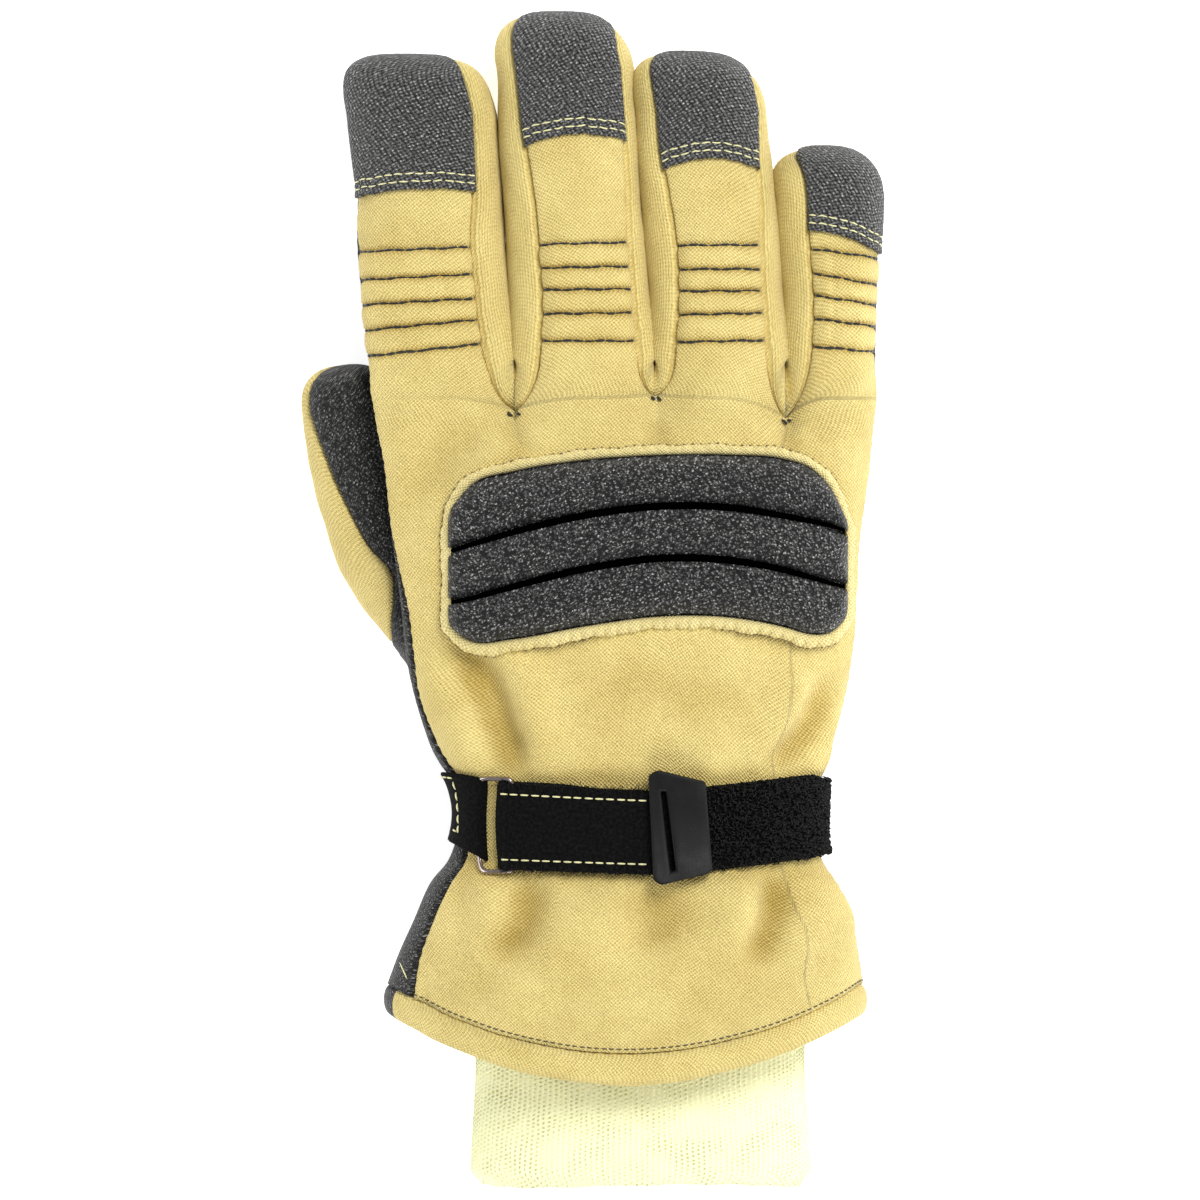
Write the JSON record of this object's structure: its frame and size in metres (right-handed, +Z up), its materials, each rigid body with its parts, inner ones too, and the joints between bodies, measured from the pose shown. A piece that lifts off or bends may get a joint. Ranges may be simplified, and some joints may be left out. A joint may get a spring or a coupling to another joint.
{
  "type": "firefighter glove",
  "caption": "Gold and charcoal knit firefighting glove for the right hand, palm down, with padded knuckle guard, wrist strap and knitted wristlet.",
  "frame": {"origin": "middle of the bounding box's bottom face, on the surface that the glove lies on", "axes": "+Y towards the fingertips, +X towards the little finger, +Z up from the palm to the back of the hand"},
  "size_m": [0.1568, 0.3146, 0.062],
  "materials": {
    "gold": "gold dotted jersey knit",
    "charcoal": "heathered charcoal twill knit",
    "suede": "black suede",
    "loop_tape": "black loop tape",
    "rib_knit": "pale yellow rib knit",
    "wire": "dark nickel",
    "plastic": "satin moulded charcoal"
  },
  "bodies": {
    "root": {"back_panel": "gold", "palm_panel": "charcoal", "thumb_back": "gold", "thumb_palm": "charcoal", "fourchette_index_middle": "gold", "fourchette_middle_ring": "gold", "fourchette_ring_little": "gold", "fingertip_cap_index": "charcoal", "fingertip_cap_middle": "charcoal", "fingertip_cap_ring": "charcoal", "fingertip_cap_little": "charcoal", "knuckle_guard": "charcoal", "knuckle_binding": "gold", "cuff_hem": "gold", "wristlet": "rib_knit", "strap_tab": "suede", "strap_loop": "loop_tape", "strap_flap": "suede", "strap_ring": "wire", "pull_tab": "plastic"}
  },
  "joints": []
}
